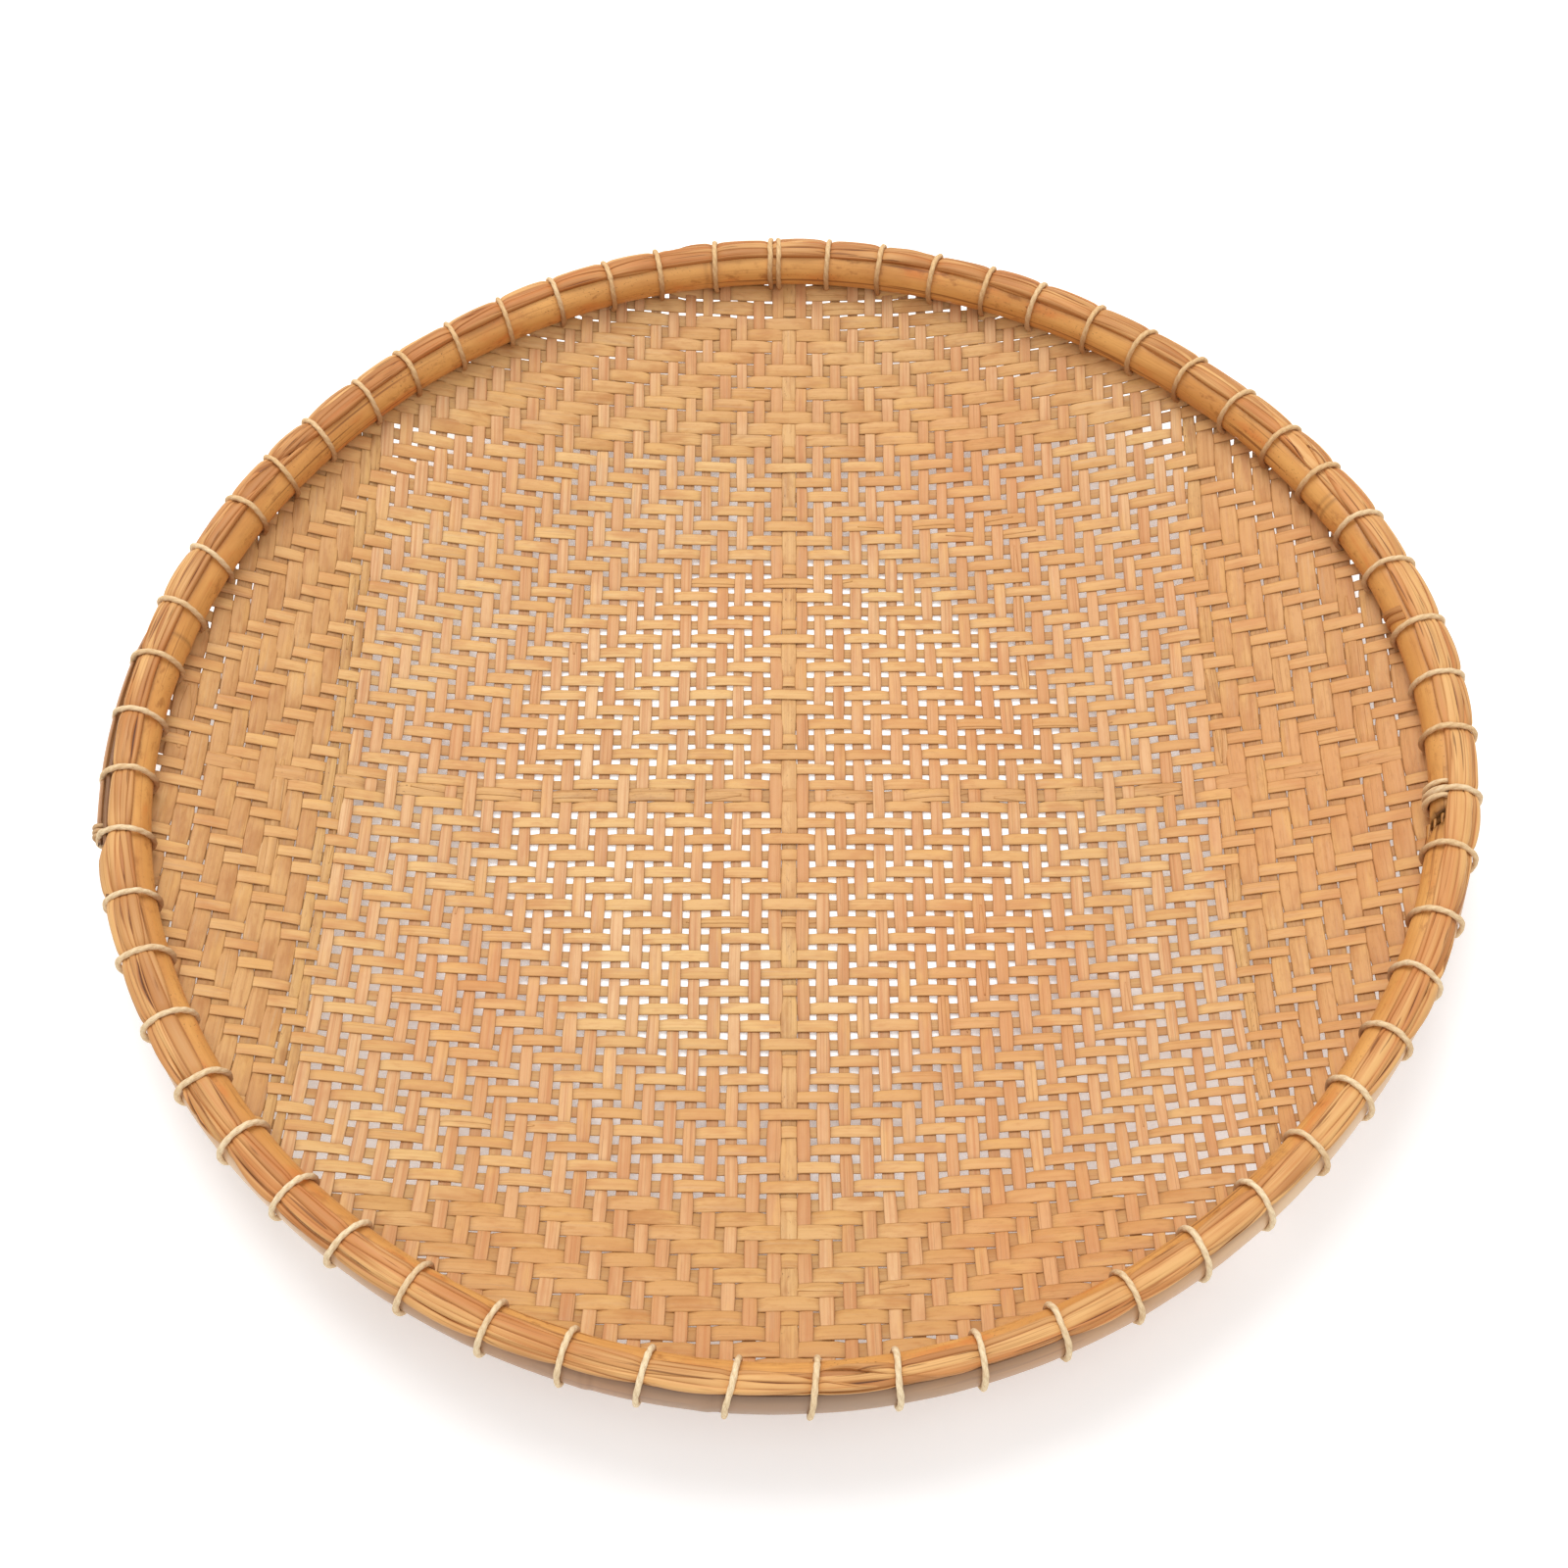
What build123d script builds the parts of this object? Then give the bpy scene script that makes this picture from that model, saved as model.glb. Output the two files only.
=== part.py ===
from build123d import *
from math import atan, cos, degrees, hypot, radians, sin, sqrt, tan
import os

# Winnowing basket: a shallow round tray of split bamboo. Two sets of splints cross to make
# the mat. Its edge is turned up and clamped between two half-round hoops, strips of cane cap
# the hoops, and single ties of twisted cord hold the rim together.
# Millimetres, +Z up, origin at the middle of the underside.

os.makedirs("parts", exist_ok=True)

# ---------------------------------------------------------------- driving dimensions
FOOT_RADIUS = 287.5        # where the dish turns up into the rim
REST_RADIUS = 110.0        # flat middle that the basket rests on
DISH_SQUARE = 1.42e-3      # rise of the dish outside the flat middle, per mm squared
RIM_LEAN = 22.0            # degrees that the rim leans outwards
MAT_EDGE = 18.2            # height of the turned-up edge, along the rim

SPLINT_THICK = 0.6
LAYER_GAP = 0.15           # clearance between the two layers of splints
OPEN_WIDTH = 5.2           # splints in the open middle of the mat
SPINE_WIDTH = 7.0
FIRST_OFFSET = 6.3         # first splint on each side of the two middle ones

WARP_PITCH = 9.0
WARPS_LEFT = 23
WARPS_RIGHT = 22
SPECKLED_WARPS = 2
SPECKLED_WIDTH = 4.2
SPECKLED_PITCH = 4.8
WIDE_LEFT_WIDTH = 6.9
WIDE_LEFT_PITCH = 7.4
ROUGH_WIDTH = 6.0
WIDE_RIGHT_WIDTH = 7.7
WIDE_RIGHT_PITCH = 8.2

WEFT_PITCH_FAR = 8.4
WEFT_PITCH_NEAR = 8.65
WEFTS_OPEN = 23
WIDE_WEFT_WIDTH = 6.0
WIDE_FAR_PITCH = 6.5
WIDE_NEAR_PITCH = 7.0
MAT_REACH = 280.0          # no splint is laid with its middle further out than this
SEAT_TRIM = 1.2            # the last splint each way is split narrower, to seat behind the hoop

HOOP_GAP = 1.0             # from the middle of the mat to the flat side of each hoop
INNER_HIGH = 20.5
INNER_THICK = 8.8
OUTER_FOOT = 1.0
OUTER_HIGH = 19.0
OUTER_THICK = 8.0
INNER_GAP_AT = -10.5       # degrees, the open joint of the inner hoop
INNER_GAP = 5.0
OUTER_GAP_AT = 193.0
OUTER_GAP = 3.0

CAP_THICK = 2.2
CAP_CLEAR = 0.15
CAP_STRIPS = 3             # lengths of cane in each of the two rows
CAP_INNER = (-50, -6)      # degrees round each hoop's face that a row covers
CAP_OUTER = (1, 34)
CAP_JOINT = 0.8            # degrees between two lengths

CORD_DIAMETER = 2.8
TIES = 60
TIE_START = 121.9          # degrees
TIE_SPREAD = 3.3           # ties stand closer at the back than at the front
TIE_SLANT = 2.0            # how far a tie drifts along the rim as it crosses it
START_DOUBLE = 5           # the tie that the cord starts beside
END_WRAP_AT = (-5.9, -6.6, -7.3)
BAND_AT = 12.0             # a band of cane round the inner hoop
BAND_WIDTH = 8.0
BAND_THICK = 0.8

LEAN = radians(RIM_LEAN)
MID_LEVEL = SPLINT_THICK + LAYER_GAP / 2
LOWER = -(SPLINT_THICK + LAYER_GAP) / 2
UPPER = -LOWER


# ---------------------------------------------------------------- the dish
def dish_height(r):
    """Height of the middle of the mat at radius r, up to the foot of the rim."""
    rise = max(0.0, r - REST_RADIUS)
    return MID_LEVEL + DISH_SQUARE * rise**2


FOOT_HEIGHT = dish_height(FOOT_RADIUS)
EDGE_RADIUS = FOOT_RADIUS + MAT_EDGE * sin(LEAN)


def mat_height(r):
    if r <= FOOT_RADIUS:
        return dish_height(r)
    return FOOT_HEIGHT + (r - FOOT_RADIUS) / tan(LEAN)


def mat_slope(r):
    if r > FOOT_RADIUS:
        return 1 / tan(LEAN)
    rise = max(0.0, r - REST_RADIUS)
    return 2 * DISH_SQUARE * rise


def mat_point(x, y, lift):
    """A point lifted off the mat along its normal, and that normal."""
    r = hypot(x, y)
    slope = mat_slope(r)
    outward = Vector(x, y, 0) / r if r > 0 else Vector(1, 0, 0)
    normal = (Vector(0, 0, 1) - outward * slope).normalized()
    return Vector(x, y, mat_height(r)) + normal * lift, normal


# ---------------------------------------------------------------- splints
def stations(offset):
    """Distances along a splint that runs at this offset from the middle."""
    marks = []
    for r in (FOOT_RADIUS + 3.6, FOOT_RADIUS + 1.2, FOOT_RADIUS - 1.5, FOOT_RADIUS - 8, FOOT_RADIUS - 24):
        if r > abs(offset) + 2:
            marks.append(sqrt(r**2 - offset**2))
    end = sqrt(EDGE_RADIUS**2 - offset**2)
    inner = marks[-1]
    spans = max(2, round(2 * inner / 42))
    middle = [-inner + 2 * inner * k / spans for k in range(1, spans)]
    return [-end] + [-m for m in marks] + middle + marks[::-1] + [end]


def splint(offset, width, lift, along_y):
    """A bent ribbon of bamboo, bounded by four ruled sides and two cut ends."""
    corners = [[], [], [], []]
    for s in stations(offset):
        x, y = (offset, s) if along_y else (s, offset)
        middle, normal = mat_point(x, y, lift)
        rise = mat_slope(hypot(x, y)) * s / max(hypot(x, y), 1)
        run = Vector(0, 1, rise) if along_y else Vector(1, 0, rise)
        side = run.normalized().cross(normal) * (width / 2)
        thick = normal * (SPLINT_THICK / 2)
        for k, corner in enumerate((middle - side + thick, middle + side + thick,
                                    middle + side - thick, middle - side - thick)):
            corners[k].append(corner)
    rails = [Edge.make_spline(points) for points in corners]
    faces = [Face.make_surface_from_curves(rails[k], rails[(k + 1) % 4]) for k in range(4)]
    for end in (0, -1):
        faces.append(Face(Wire.make_polygon([points[end] for points in corners], close=True)))
    return Solid(Shell(faces))


def spread(start, count, pitch, sign):
    """Offsets of splints laid side by side up the slope of the dish, from start outwards."""
    offsets = []
    at = start
    while len(offsets) < count and at <= MAT_REACH:
        offsets.append(sign * at)
        at += pitch * cos(atan(mat_slope(at)))
    return offsets


def splint_set(offsets, width, lift, along_y):
    with BuildPart() as laid:
        for offset in offsets:
            at_the_rim = abs(offset) > MAT_REACH - 9
            add(splint(offset, width - SEAT_TRIM if at_the_rim else width, lift, along_y))
    return laid.part


# the middle warp: flat where the basket rests, so that it has a true bottom face
def spine_side(lift):
    """One bent end of the spine's side view, from the flat middle outwards."""
    points = [(REST_RADIUS, MID_LEVEL + lift)]
    for r in (130, 155, 185, 215, 245, FOOT_RADIUS - 24, FOOT_RADIUS - 8, FOOT_RADIUS - 1.5,
              FOOT_RADIUS + 1.2, FOOT_RADIUS + 3.6, EDGE_RADIUS):
        point = mat_point(0, r, lift)[0]
        points.append((point.Y, point.Z))
    return points


with BuildPart() as spine_warp:
    with BuildSketch(Plane.YZ):
        with BuildLine():
            below = Spline(spine_side(LOWER - SPLINT_THICK / 2), tangents=[(1, 0), (sin(LEAN), cos(LEAN))])
            above = Spline(spine_side(LOWER + SPLINT_THICK / 2), tangents=[(1, 0), (sin(LEAN), cos(LEAN))])
            Line(below @ 1, above @ 1)
            Line(Vector(0, (below @ 0).Y), below @ 0)
            Line(Vector(0, (above @ 0).Y), above @ 0)
            Line(Vector(0, (below @ 0).Y), Vector(0, (above @ 0).Y))
        make_face()
        mirror(about=Plane.YZ)
    extrude(amount=SPINE_WIDTH / 2, both=True)
spine_warp.part.label = "spine_warp"
export_step(spine_warp.part, "parts/spine_warp.step")

# warps: they run from the near edge to the far edge, in the lower layer
last_left = FIRST_OFFSET + (WARPS_LEFT - 1) * WARP_PITCH
last_right = FIRST_OFFSET + (WARPS_RIGHT - 1) * WARP_PITCH
speckled_start = last_left + OPEN_WIDTH / 2 + SPECKLED_PITCH / 2
wide_left_start = speckled_start + (SPECKLED_WARPS - 0.5) * SPECKLED_PITCH + WIDE_LEFT_PITCH / 2
rough_start = last_right + OPEN_WIDTH / 2 + ROUGH_WIDTH / 2 + 0.4
wide_right_start = rough_start + ROUGH_WIDTH / 2 + WIDE_RIGHT_PITCH / 2

warp_sets = {
    "open_warps_left": ([-FIRST_OFFSET - k * WARP_PITCH for k in range(WARPS_LEFT)], OPEN_WIDTH),
    "open_warps_right": ([FIRST_OFFSET + k * WARP_PITCH for k in range(WARPS_RIGHT)], OPEN_WIDTH),
    "speckled_warps": (spread(speckled_start, SPECKLED_WARPS, SPECKLED_PITCH, -1), SPECKLED_WIDTH),
    "wide_warps_left": (spread(wide_left_start, 20, WIDE_LEFT_PITCH, -1), WIDE_LEFT_WIDTH),
    "rough_warp": ([rough_start], ROUGH_WIDTH),
    "wide_warps_right": (spread(wide_right_start, 20, WIDE_RIGHT_PITCH, 1), WIDE_RIGHT_WIDTH),
}
for name, (offsets, width) in warp_sets.items():
    warps = splint_set(offsets, width, LOWER, along_y=True)
    warps.label = name
    export_step(warps, f"parts/{name}.step")

# wefts: they run from side to side, in the upper layer
wide_far_start = FIRST_OFFSET + WEFTS_OPEN * WEFT_PITCH_FAR
wide_near_start = FIRST_OFFSET + WEFTS_OPEN * WEFT_PITCH_NEAR
weft_sets = {
    "centre_weft": ([0.0], SPINE_WIDTH),
    "open_wefts_far": ([FIRST_OFFSET + k * WEFT_PITCH_FAR for k in range(WEFTS_OPEN)], OPEN_WIDTH),
    "open_wefts_near": ([-FIRST_OFFSET - k * WEFT_PITCH_NEAR for k in range(WEFTS_OPEN)], OPEN_WIDTH),
    "wide_wefts_far": (spread(wide_far_start, 20, WIDE_FAR_PITCH, 1), WIDE_WEFT_WIDTH),
    "wide_wefts_near": (spread(wide_near_start, 20, WIDE_NEAR_PITCH, -1), WIDE_WEFT_WIDTH),
}
for name, (offsets, width) in weft_sets.items():
    wefts = splint_set(offsets, width, UPPER, along_y=False)
    wefts.label = name
    export_step(wefts, f"parts/{name}.step")


# ---------------------------------------------------------------- the rim
def rim_point(n, u):
    """Section of the rim: n outwards from the mat, u up along it, as (radius, height)."""
    radius = FOOT_RADIUS + u * sin(LEAN) + n * cos(LEAN)
    height = FOOT_HEIGHT + u * cos(LEAN) - n * sin(LEAN)
    return (radius, height)


def bow(low, high, flat, thick):
    """Centre and radius of the round face of a half-round hoop. thick is signed like n."""
    half = (high - low) / 2
    radius = (half**2 + thick**2) / (2 * abs(thick))
    centre = flat + thick - radius * (1 if thick > 0 else -1)
    return centre, (low + high) / 2, radius


def round_point(centre, radius, angle):
    """A point on a hoop's round face, angle in degrees from straight up towards +n."""
    n, u = centre
    return rim_point(n + radius * sin(radians(angle)), u + radius * cos(radians(angle)))


inner_n, inner_u, inner_r = bow(0, INNER_HIGH, -HOOP_GAP, -INNER_THICK)
outer_n, outer_u, outer_r = bow(OUTER_FOOT, OUTER_FOOT + OUTER_HIGH, HOOP_GAP, OUTER_THICK)


with BuildPart() as inner_hoop:
    with BuildSketch(Plane.XZ):
        with BuildLine():
            ThreePointArc(rim_point(-HOOP_GAP, 0), rim_point(-HOOP_GAP - INNER_THICK, inner_u),
                          rim_point(-HOOP_GAP, INNER_HIGH))
            Line(rim_point(-HOOP_GAP, INNER_HIGH), rim_point(-HOOP_GAP, 0))
        make_face()
    revolve(axis=Axis.Z, revolution_arc=360 - INNER_GAP)
inner_hoop.part = Rot(0, 0, INNER_GAP_AT + INNER_GAP / 2) * inner_hoop.part
inner_hoop.part.label = "inner_hoop"
export_step(inner_hoop.part, "parts/inner_hoop.step")

with BuildPart() as outer_hoop:
    with BuildSketch(Plane.XZ):
        with BuildLine():
            ThreePointArc(rim_point(HOOP_GAP, OUTER_FOOT), rim_point(HOOP_GAP + OUTER_THICK, outer_u),
                          rim_point(HOOP_GAP, OUTER_FOOT + OUTER_HIGH))
            Line(rim_point(HOOP_GAP, OUTER_FOOT + OUTER_HIGH), rim_point(HOOP_GAP, OUTER_FOOT))
        make_face()
    revolve(axis=Axis.Z, revolution_arc=360 - OUTER_GAP)
outer_hoop.part = Rot(0, 0, OUTER_GAP_AT + OUTER_GAP / 2) * outer_hoop.part
outer_hoop.part.label = "outer_hoop"
export_step(outer_hoop.part, "parts/outer_hoop.step")


def cap_length(centre, radius, angles, turn):
    """One length of a cap strip, bent over the shoulder of a hoop."""
    near = radius + CAP_CLEAR
    far = near + CAP_THICK
    first, last = angles
    half = (first + last) / 2
    with BuildPart() as strip:
        with BuildSketch(Plane.XZ):
            with BuildLine():
                ThreePointArc(round_point(centre, near, first), round_point(centre, near, half),
                              round_point(centre, near, last))
                ThreePointArc(round_point(centre, far, first), round_point(centre, far, half),
                              round_point(centre, far, last))
                Line(round_point(centre, near, first), round_point(centre, far, first))
                Line(round_point(centre, near, last), round_point(centre, far, last))
            make_face()
        revolve(axis=Axis.Z, revolution_arc=360 / CAP_STRIPS - CAP_JOINT)
    return Rot(0, 0, turn) * strip.part


for k in range(CAP_STRIPS):
    length = cap_length((inner_n, inner_u), inner_r, CAP_INNER, 150 + k * 360 / CAP_STRIPS)
    length.label = f"cap_strip_inner_{k + 1}"
    export_step(length, f"parts/cap_strip_inner_{k + 1}.step")
    length = cap_length((outer_n, outer_u), outer_r, CAP_OUTER, 95 + k * 360 / CAP_STRIPS)
    length.label = f"cap_strip_outer_{k + 1}"
    export_step(length, f"parts/cap_strip_outer_{k + 1}.step")


# ---------------------------------------------------------------- ties and wraps
def tie_angle(k):
    even = TIE_START - k * 360 / TIES
    return even + TIE_SPREAD * cos(radians(even))


def around_section():
    """Points (n, u) of a cord's middle, once round both hoops and the cap."""
    cord = CORD_DIAMETER / 2 + 0.1
    inside = inner_r + cord
    inside_cap = inner_r + CAP_CLEAR + CAP_THICK + cord
    outside = outer_r + cord
    outside_cap = outer_r + CAP_CLEAR + CAP_THICK + cord
    ring = [(inner_n, inner_u, inside_cap, -48), (inner_n, inner_u, inside_cap, -14),
            (outer_n, outer_u, outside_cap, 14), (outer_n, outer_u, outside_cap, 36),
            (outer_n, outer_u, outside + 0.4, 66), (outer_n, outer_u, outside, 98),
            (outer_n, outer_u, outside, 130)]
    points = [(n + r * sin(radians(a)), u + r * cos(radians(a))) for n, u, r, a in ring]
    points += [(1.2, -1.3), (-2.6, -1.9)]
    ring = [(inner_n, inner_u, inside, -130), (inner_n, inner_u, inside + 0.4, -88)]
    points += [(n + r * sin(radians(a)), u + r * cos(radians(a))) for n, u, r, a in ring]
    return points


def tie(angle):
    """One closed tie, slanting a little along the rim as it crosses the top."""
    points = []
    for n, u in around_section():
        radius, height = rim_point(n, u)
        points.append((radius, -TIE_SLANT * n / 20, height))
    with BuildPart() as loop:
        with BuildLine():
            path = Spline(points, periodic=True)
        with BuildSketch(Plane(origin=path @ 0, z_dir=path % 0)):
            Circle(CORD_DIAMETER / 2)
        sweep()
    return Rot(0, 0, angle) * loop.part


quarters = ["lashings_far", "lashings_right", "lashings_near", "lashings_left"]
for q, name in enumerate(quarters):
    with BuildPart() as lashings:
        add([tie(tie_angle(k)) for k in range(q * TIES // 4, (q + 1) * TIES // 4)])
    lashings.part.label = name
    export_step(lashings.part, f"parts/{name}.step")

with BuildPart() as lashing_start:
    add(tie(tie_angle(START_DOUBLE) - 0.75))
lashing_start.part.label = "lashing_start"
export_step(lashing_start.part, "parts/lashing_start.step")


def end_turn(angle):
    """A short turn of cord round the end of the inner hoop, tucked in behind it."""
    centre = (inner_n, inner_u)
    middle = inner_r + CORD_DIAMETER / 2
    with BuildPart() as turn:
        with BuildLine(Plane.XZ) as bent:
            ThreePointArc(round_point(centre, middle, -152), round_point(centre, middle, -105),
                          round_point(centre, middle, -66))
        with BuildSketch(Plane(origin=bent.line @ 0, z_dir=bent.line % 0)):
            Circle(CORD_DIAMETER / 2 - 0.15)
        sweep(path=bent.line)
    return Rot(0, 0, angle) * turn.part


with BuildPart() as hoop_end_wrap:
    add([end_turn(angle) for angle in END_WRAP_AT])
hoop_end_wrap.part.label = "hoop_end_wrap"
export_step(hoop_end_wrap.part, "parts/hoop_end_wrap.step")

with BuildPart() as cane_band:
    with BuildSketch(Plane.XZ):
        with BuildLine():
            centre = (inner_n, inner_u)
            near = inner_r + 0.1
            far = near + BAND_THICK
            ThreePointArc(round_point(centre, near, -152), round_point(centre, near, -105),
                          round_point(centre, near, -66))
            ThreePointArc(round_point(centre, far, -152), round_point(centre, far, -105),
                          round_point(centre, far, -66))
            Line(round_point(centre, near, -152), round_point(centre, far, -152))
            Line(round_point(centre, near, -66), round_point(centre, far, -66))
        make_face()
    revolve(axis=Axis.Z, revolution_arc=degrees(BAND_WIDTH / FOOT_RADIUS))
cane_band.part = Rot(0, 0, BAND_AT) * cane_band.part
cane_band.part.label = "cane_band"
export_step(cane_band.part, "parts/cane_band.step")
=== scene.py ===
from math import cos, pi, radians, sin, tan

import bpy
import numpy as np
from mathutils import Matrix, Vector


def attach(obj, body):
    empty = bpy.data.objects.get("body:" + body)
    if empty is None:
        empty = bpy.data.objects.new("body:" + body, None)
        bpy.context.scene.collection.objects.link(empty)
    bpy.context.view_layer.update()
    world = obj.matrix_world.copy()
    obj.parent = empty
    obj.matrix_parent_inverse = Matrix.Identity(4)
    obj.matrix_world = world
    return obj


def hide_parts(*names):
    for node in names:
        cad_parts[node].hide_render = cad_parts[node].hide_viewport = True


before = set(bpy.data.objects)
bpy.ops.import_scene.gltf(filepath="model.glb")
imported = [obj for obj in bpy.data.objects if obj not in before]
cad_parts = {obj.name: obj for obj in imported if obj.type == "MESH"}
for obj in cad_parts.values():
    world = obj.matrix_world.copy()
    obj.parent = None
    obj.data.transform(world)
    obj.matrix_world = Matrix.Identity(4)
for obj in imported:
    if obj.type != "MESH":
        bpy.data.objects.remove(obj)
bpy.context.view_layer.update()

MM = 0.001

# ------------------------------------------------------------------ sizes, in millimetres
FOOT_RADIUS = 287.5            # where the mat turns up into the rim
REST_RADIUS = 110.0            # of the flat middle, which the basket rests on
DISH_SQUARE = 1.42e-3          # rise outside it, for each mm squared
LEAN = radians(22.0)           # of the rim, outwards
MAT_EDGE = 18.2                # how far the mat runs up the rim
MID_LEVEL = 0.72               # the middle of the mat above the floor
REACH = 280.0                  # the furthest splint from the middle one
OUTLINE = 305.0                # rough radius over everything

# a hoop's section: its flat back, its lower and upper edge up the rim, and its crown (minus is inwards)
INNER = dict(flat=-1.0, low=0.0, high=20.5, thick=-8.8)
OUTER = dict(flat=1.0, low=1.0, high=20.0, thick=8.0)

CORD = 1.27                    # radius
TIES = 60
TIE_START = 121.9              # degrees; this and the spread were fitted to where the photo shows its ties
TIE_STEP = 6.0
TIE_SPREAD = 3.3               # ties stand closer at the back than at the front

OPEN_SPLINTS = 23              # to each side of the middle ones
FIRST = 6.3                    # from the middle splint to its neighbour
WARP_PITCH = 9.0
FAR_PITCH = 8.4
NEAR_PITCH = 8.65
HALF_OPEN = 2.6                # half an open splint


# ------------------------------------------------------------------ the dish
def mat_height(r):
    """Height of the mat at radius r: flat, then dished, then turned up along the rim."""
    rise = np.maximum(0.0, np.minimum(r, FOOT_RADIUS) - REST_RADIUS)
    z = MID_LEVEL + DISH_SQUARE * rise**2
    return z + np.maximum(0.0, r - FOOT_RADIUS) / tan(LEAN)


def mat_slope(r):
    rise = np.maximum(0.0, np.minimum(r, FOOT_RADIUS) - REST_RADIUS)
    dish = 2 * DISH_SQUARE * rise
    turn = np.clip((r - FOOT_RADIUS + 2.0) / 4.0, 0, 1)
    return dish + (1 / tan(LEAN) - dish) * turn


FOOT_HEIGHT = float(mat_height(np.array(FOOT_RADIUS)))
EDGE_RADIUS = FOOT_RADIUS + MAT_EDGE * sin(LEAN)


def by_hand(p):
    """The basket isn't quite round: its hoops were bent by hand."""
    x, y, z = p[..., 0], p[..., 1], p[..., 2]
    a = np.arctan2(y, x)
    r = np.hypot(x, y)
    # these eight amplitudes, in mm, come from least-squares fits to its outline in the photo, rounded
    out = 0.4 * np.cos(a) - 2.3 * np.sin(a) + 1.9 * np.cos(2 * a) + 2.5 * np.sin(2 * a)
    out = out + 1.5 * np.cos(3 * a) + 0.3 * np.sin(3 * a) + 1.9 * np.cos(4 * a) + 1.0 * np.sin(4 * a)
    k = 1 + out / OUTLINE * np.clip(r / OUTLINE, 0, 1) ** 2
    lift = 0.7 * np.sin(2 * a + 0.6) * np.clip(r / OUTLINE, 0, 1.1) ** 4
    return np.stack([x * k, y * k, z + lift], axis=-1)


def wobble(seed, s, size, wave):
    """Smooth seeded drift along s, about +-size, with that wavelength."""
    g = np.random.default_rng(seed)
    out = np.zeros_like(s)
    for k in range(3):
        out = out + np.sin(s / (wave * (0.6 + 0.5 * k)) * 2 * pi + g.uniform(0, 2 * pi)) * g.uniform(0.3, 1.0)
    return out * size / 1.6


def tan_patches(x, y):
    """Where the mat has gone redder, 0 to 1: broad soft patches, more of them to the right."""
    g = np.random.default_rng(2024)
    out = np.zeros_like(x)
    for k in range(7):
        way = g.uniform(0, pi)
        wave = g.uniform(90, 260)
        along = x * cos(way) + y * sin(way)
        out = out + np.sin(along / wave * 2 * pi + g.uniform(0, 2 * pi)) * g.uniform(0.5, 1)
    return np.clip(0.34 + 0.18 * out + 0.56 * x / 300 - 0.18 * y / 300, 0, 1)


# ------------------------------------------------------------------ meshes
def new_piece(name, points, faces, values, material):
    """A mesh object in metres from points in millimetres, with per-point values."""
    me = bpy.data.meshes.new(name)
    pts = by_hand(points) * MM
    me.vertices.add(len(pts))
    me.vertices.foreach_set("co", pts.astype(np.float32).ravel())
    faces = np.asarray(faces, np.int32)
    n = faces.shape[1]
    me.loops.add(faces.size)
    me.loops.foreach_set("vertex_index", faces.ravel())
    me.polygons.add(len(faces))
    me.polygons.foreach_set("loop_start", np.arange(0, faces.size, n, dtype=np.int32))
    me.update(calc_edges=True)
    me.polygons.foreach_set("use_smooth", np.full(len(faces), True))
    for key, value in values.items():
        if value.ndim == 2:
            att = me.attributes.new(key, "FLOAT_VECTOR", "POINT")
            att.data.foreach_set("vector", value.astype(np.float32).ravel())
        else:
            att = me.attributes.new(key, "FLOAT", "POINT")
            att.data.foreach_set("value", value.astype(np.float32).ravel())
    me.materials.append(material)
    ob = bpy.data.objects.new(name, me)
    bpy.context.scene.collection.objects.link(ob)
    return ob


class Gather:
    """Collects strips of quads into one mesh."""

    def __init__(self):
        self.points, self.faces, self.values, self.count = [], [], {}, 0

    def tube(self, grid, values, closed_along=False):
        """grid is (along, around, 3); around is always closed, and open ends are capped."""
        n, m = grid.shape[:2]
        i = np.arange(n if closed_along else n - 1)[:, None]
        j = np.arange(m)[None, :]
        a = i * m + j
        b = i * m + (j + 1) % m
        c = ((i + 1) % n) * m + (j + 1) % m
        d = ((i + 1) % n) * m + j
        quads = np.stack([a, b, c, d], -1).reshape(-1, 4)
        if not closed_along:
            extra = []
            for k in range(m // 2 - 1):
                extra.append([m - 1 - k, m - 2 - k, k + 1, k])
                base = (n - 1) * m
                extra.append([base + k, base + k + 1, base + m - 2 - k, base + m - 1 - k])
            quads = np.concatenate([quads, np.array(extra)])
        self.faces.append(quads + self.count)
        self.points.append(grid.reshape(-1, 3))
        for key, value in values.items():
            width = value.shape[-1] if value.ndim == 3 else 1
            flat = value.reshape(-1, width) if width > 1 else value.reshape(-1)
            self.values.setdefault(key, []).append(flat)
        self.count += n * m

    def build(self, name, material):
        values = {k: np.concatenate(v) for k, v in self.values.items()}
        return new_piece(name, np.concatenate(self.points), np.concatenate(self.faces), values, material)


def add_piece(gathered, name, material, node):
    """Build the piece that stands in for this CAD node. Everything rides on the one body."""
    piece = gathered.build(name, material)
    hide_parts(node)
    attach(piece, "root")


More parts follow.
